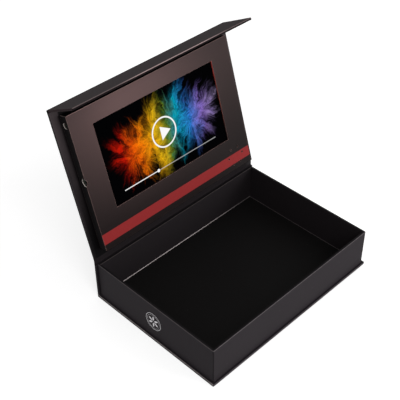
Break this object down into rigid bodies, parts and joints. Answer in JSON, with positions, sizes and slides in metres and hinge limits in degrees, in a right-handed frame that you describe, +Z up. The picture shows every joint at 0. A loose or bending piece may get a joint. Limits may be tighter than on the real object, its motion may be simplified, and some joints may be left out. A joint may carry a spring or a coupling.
{
  "type": "video presentation box",
  "caption": "Book-style magnetic presentation box: an open tray, a hinged lid with a video screen pod, speaker holes and side controls, and a folding magnetic flap.",
  "frame": {"origin": "middle of the underside of the case", "axes": "+X along the lid hinge, +Y towards the hinge at the back, +Z up"},
  "size_m": [0.224, 0.206, 0.221],
  "materials": {
    "greyboard": "matte",
    "wrapping_paper": "matte",
    "lining_paper": "matte",
    "hinge_paper": "matte",
    "floor_card": "matte",
    "kraft_paper": "matte",
    "face_card": "matte",
    "printed_face": "satin",
    "magnet": "satin",
    "display_pan": "satin",
    "light_guide": "gloss",
    "display_glass": "gloss",
    "foam": "matte",
    "flex_cable": "satin",
    "speaker_basket": "satin",
    "speaker_magnet": "satin",
    "speaker_cone": "matte",
    "wire": "satin",
    "circuit_board": "satin",
    "chip": "matte",
    "connector": "matte",
    "battery_foil": "satin",
    "tape": "matte",
    "socket_metal": "satin",
    "tongue": "matte",
    "switch_metal": "satin",
    "slider": "matte"
  },
  "bodies": {
    "case": {"base_board": "greyboard", "spine_board": "greyboard", "case_wrap": "wrapping_paper", "tray_board": "greyboard", "corner_stays": "kraft_paper", "tray_wrap": "wrapping_paper", "floor_liner": "floor_card", "tray_magnets": "magnet", "trigger_magnet": "magnet", "lid_hinge_paper": "hinge_paper"},
    "lid": {"lid_board": "greyboard", "pod_frame": "greyboard", "lid_wrap": "wrapping_paper", "pod_wrap": "wrapping_paper", "lid_liner": "lining_paper", "flap_hinge_paper": "hinge_paper", "face_card": "face_card", "face_print": "printed_face", "display_pan": "display_pan", "light_guide": "light_guide", "display_glass": "display_glass", "display_gasket": "foam", "display_pads": "foam", "speaker_gasket": "foam", "speaker_pad": "foam", "side_foam": "foam", "main_pads": "foam", "display_flex": "flex_cable", "side_flex": "flex_cable", "speaker_basket": "speaker_basket", "speaker_magnet": "speaker_magnet", "speaker_cone": "speaker_cone", "speaker_wires": "wire", "battery_wires": "wire", "side_board": "circuit_board", "main_board": "circuit_board", "battery_board": "circuit_board", "main_chips": "chip", "closing_sensor": "chip", "connectors": "connector", "battery": "battery_foil", "battery_tape": "tape", "usb_socket": "socket_metal", "usb_tongue": "tongue", "switch_housing": "switch_metal"},
    "flap": {"flap_board": "greyboard", "flap_wrap": "wrapping_paper", "flap_liner": "lining_paper", "flap_magnets": "magnet"},
    "slider": {"power_slider": "slider"}
  },
  "joints": [
    {"name": "lid_hinge", "type": "hinge", "parent": "case", "child": "lid", "pos_m": [0, 0.0798, 0.04685], "axis": [1, 0, 0], "range_deg": [-73.3, 106.7], "deforming": ["lid_hinge_paper"]},
    {"name": "flap_hinge", "type": "hinge", "parent": "lid", "child": "flap", "pos_m": [0, 0.12598, 0.20077], "axis": [1, 0, 0], "range_deg": [-79.3, 10.7], "deforming": ["flap_hinge_paper"]},
    {"name": "power_switch", "type": "slide", "parent": "lid", "child": "slider", "axis": [0, 0.2874, 0.9578], "range_m": [0, 0.002]}
  ]
}
